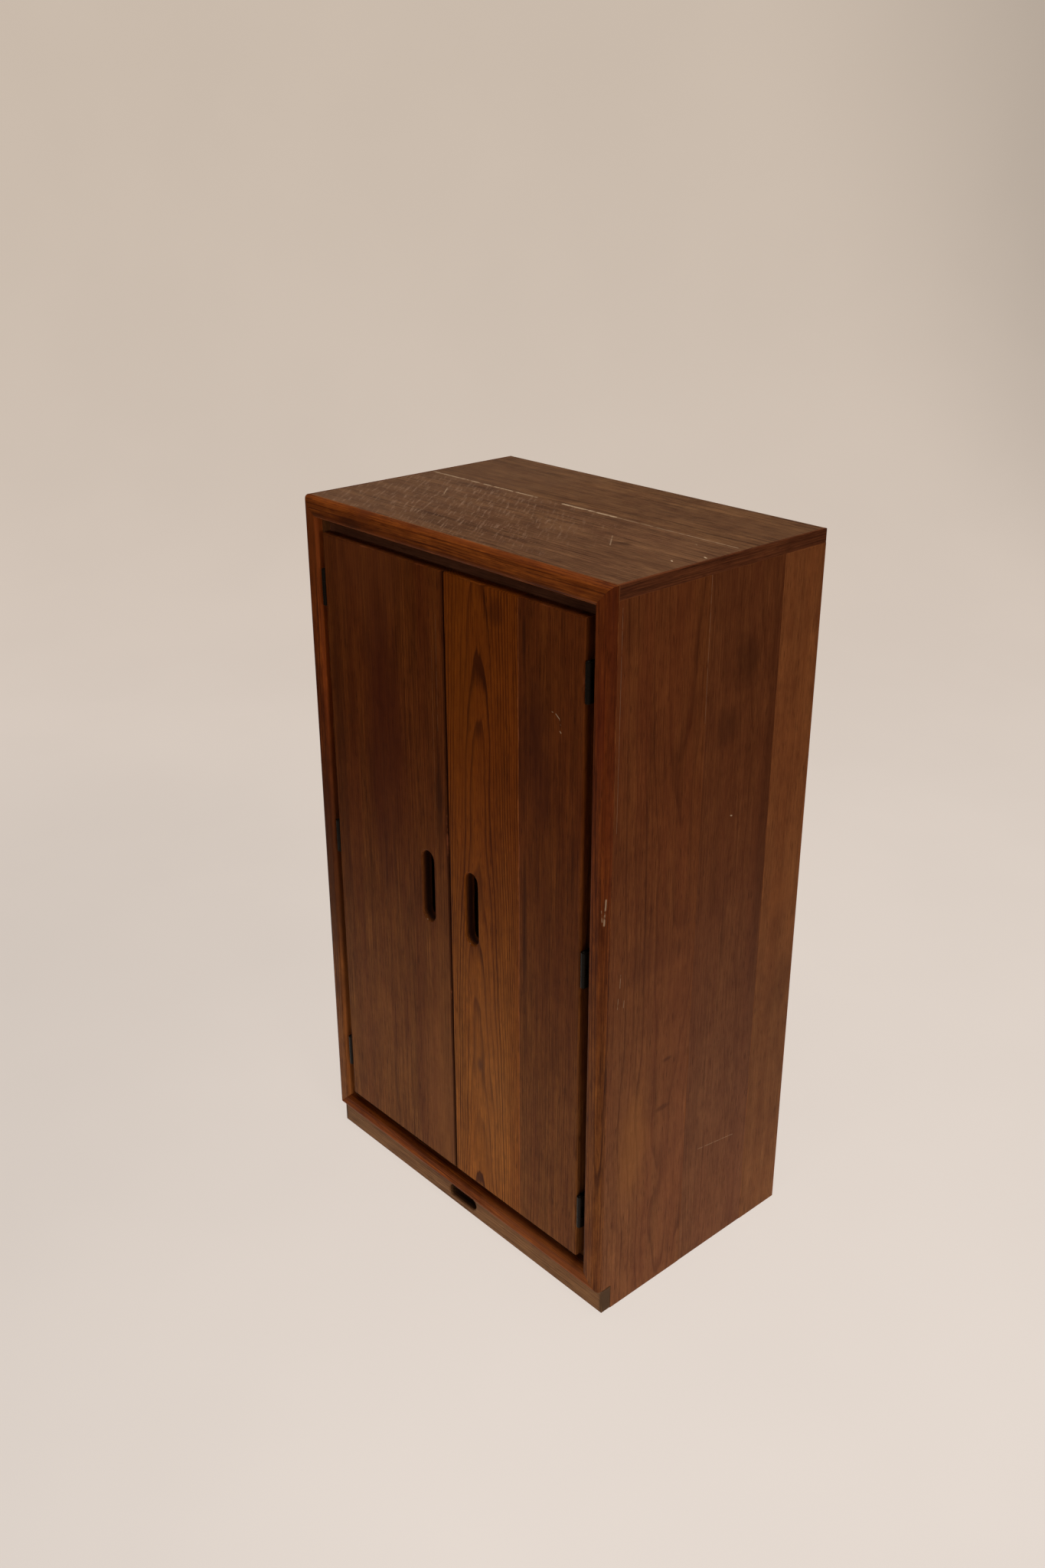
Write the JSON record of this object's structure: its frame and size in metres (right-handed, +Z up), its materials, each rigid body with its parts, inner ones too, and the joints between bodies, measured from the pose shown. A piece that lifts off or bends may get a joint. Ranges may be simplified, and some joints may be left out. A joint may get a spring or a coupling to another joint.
{
  "type": "armoire",
  "caption": "Wooden armoire with hinged doors opened by finger slots, adjustable shelves and a shallow base drawer, in a raised front frame.",
  "frame": {"origin": "on the floor under the middle of the bounding box", "axes": "+Z up, the front with its doors faces -Y, +X to the right of someone facing the front"},
  "size_m": [0.711, 0.457, 1.245],
  "materials": {
    "side_wood": "satin oiled reddish-brown hardwood",
    "top_wood": "satin oiled grey-brown hardwood",
    "frame_wood": "satin oiled orange-brown hardwood moulding",
    "door_light_wood": "satin oiled amber hardwood with open arched grain",
    "door_dark_wood": "satin oiled dark reddish-brown hardwood",
    "drawer_front_wood": "satin oiled olive-brown hardwood",
    "drawer_box_wood": "waxed pale hardwood",
    "inner_wood": "thinly oiled brown hardwood",
    "back_plywood": "thin plywood, thinly oiled",
    "hinge_bronze": "near-black bronzed finish",
    "brass_screw": "aged brass",
    "brass_pin": "brass",
    "nickel_plate": "plated steel",
    "magnet": "bare steel pole",
    "catch_plastic": "dark brown moulded"
  },
  "bodies": {
    "carcass": {"side_left_front_board": "side_wood", "side_left_middle_board": "side_wood", "side_left_back_board": "side_wood", "side_right_front_board": "side_wood", "side_right_middle_board": "side_wood", "side_right_back_board": "side_wood", "top_front_board": "top_wood", "top_back_board": "top_wood", "top_lipping_left": "top_wood", "top_lipping_right": "top_wood", "bottom_panel": "inner_wood", "back_panel": "back_plywood", "frame_top_rail": "frame_wood", "frame_bottom_rail": "frame_wood", "frame_left_stile": "frame_wood", "frame_right_stile": "frame_wood", "hanging_stile_left": "inner_wood", "hanging_stile_right": "inner_wood", "header_rail": "inner_wood", "sill_rail": "inner_wood", "shelf_upper": "inner_wood", "shelf_middle": "inner_wood", "shelf_lower": "inner_wood", "shelf_pins": "brass_pin", "drawer_runner_left": "drawer_box_wood", "drawer_runner_right": "drawer_box_wood", "base_back_rail": "inner_wood", "hinge_left_top_frame_leaf": "hinge_bronze", "hinge_left_middle_frame_leaf": "hinge_bronze", "hinge_left_bottom_frame_leaf": "hinge_bronze", "hinge_right_top_frame_leaf": "hinge_bronze", "hinge_right_middle_frame_leaf": "hinge_bronze", "hinge_right_bottom_frame_leaf": "hinge_bronze", "hinge_pins_left": "hinge_bronze", "hinge_pins_right": "hinge_bronze", "case_screws": "brass_screw", "back_screws": "brass_screw", "catch_body": "catch_plastic", "catch_magnets": "magnet"},
    "door_left": {"door_left_panel": "door_dark_wood", "hinge_left_top_door_leaf": "hinge_bronze", "hinge_left_middle_door_leaf": "hinge_bronze", "hinge_left_bottom_door_leaf": "hinge_bronze", "door_left_screws": "brass_screw", "strike_plate_left": "nickel_plate"},
    "door_right": {"door_right_inner_board": "door_light_wood", "door_right_outer_board": "door_dark_wood", "hinge_right_top_door_leaf": "hinge_bronze", "hinge_right_middle_door_leaf": "hinge_bronze", "hinge_right_bottom_door_leaf": "hinge_bronze", "door_right_screws": "brass_screw", "strike_plate_right": "nickel_plate"},
    "drawer": {"drawer_front": "drawer_front_wood", "drawer_side_left": "drawer_box_wood", "drawer_side_right": "drawer_box_wood", "drawer_back": "drawer_box_wood", "drawer_bottom": "drawer_box_wood"}
  },
  "joints": [
    {"name": "door_left_hinge", "type": "hinge", "parent": "carcass", "child": "door_left", "pos_m": [-0.3105, -0.2235, 0.644], "axis": [0, 0, -1], "range_deg": [0, 145]},
    {"name": "door_right_hinge", "type": "hinge", "parent": "carcass", "child": "door_right", "pos_m": [0.3105, -0.2235, 0.644], "axis": [0, 0, 1], "range_deg": [0, 145]},
    {"name": "drawer_slide", "type": "slide", "parent": "carcass", "child": "drawer", "axis": [0, -1, 0], "range_m": [0, 0.24]}
  ]
}
